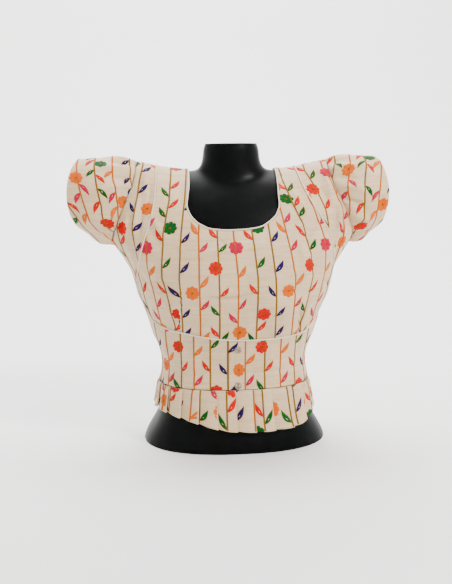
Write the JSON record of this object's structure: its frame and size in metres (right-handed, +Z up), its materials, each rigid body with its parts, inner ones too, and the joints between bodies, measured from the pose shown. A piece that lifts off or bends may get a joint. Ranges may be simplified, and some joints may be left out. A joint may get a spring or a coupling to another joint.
{
  "type": "choli blouse on dress form",
  "caption": "Short-sleeved scoop-necked choli blouse with piped seams, buttoned midriff and pleated peplum, worn by a limbless dress form.",
  "frame": {"origin": "middle of the dress form's flat base", "axes": "+Z up; -Y is the front of the blouse; +X is the wearer's left, the way its left sleeve points"},
  "size_m": [0.5379, 0.244, 0.5075],
  "materials": {
    "silk": "raw silk, embroidered with stems, leaves and flowers",
    "piping": "satin-covered cord",
    "button": "pearly, faceted",
    "form": "gloss black"
  },
  "bodies": {
    "root": {"dress_form": "form", "front_panel": "silk", "side_front_right": "silk", "side_front_left": "silk", "back_left": "silk", "back_right": "silk", "placket": "silk", "sleeve_left": "silk", "sleeve_right": "silk", "peplum_right": "silk", "peplum_left": "silk", "neck_piping": "piping", "front_seam_piping": "piping", "button_upper": "button", "button_lower": "button"}
  },
  "joints": []
}
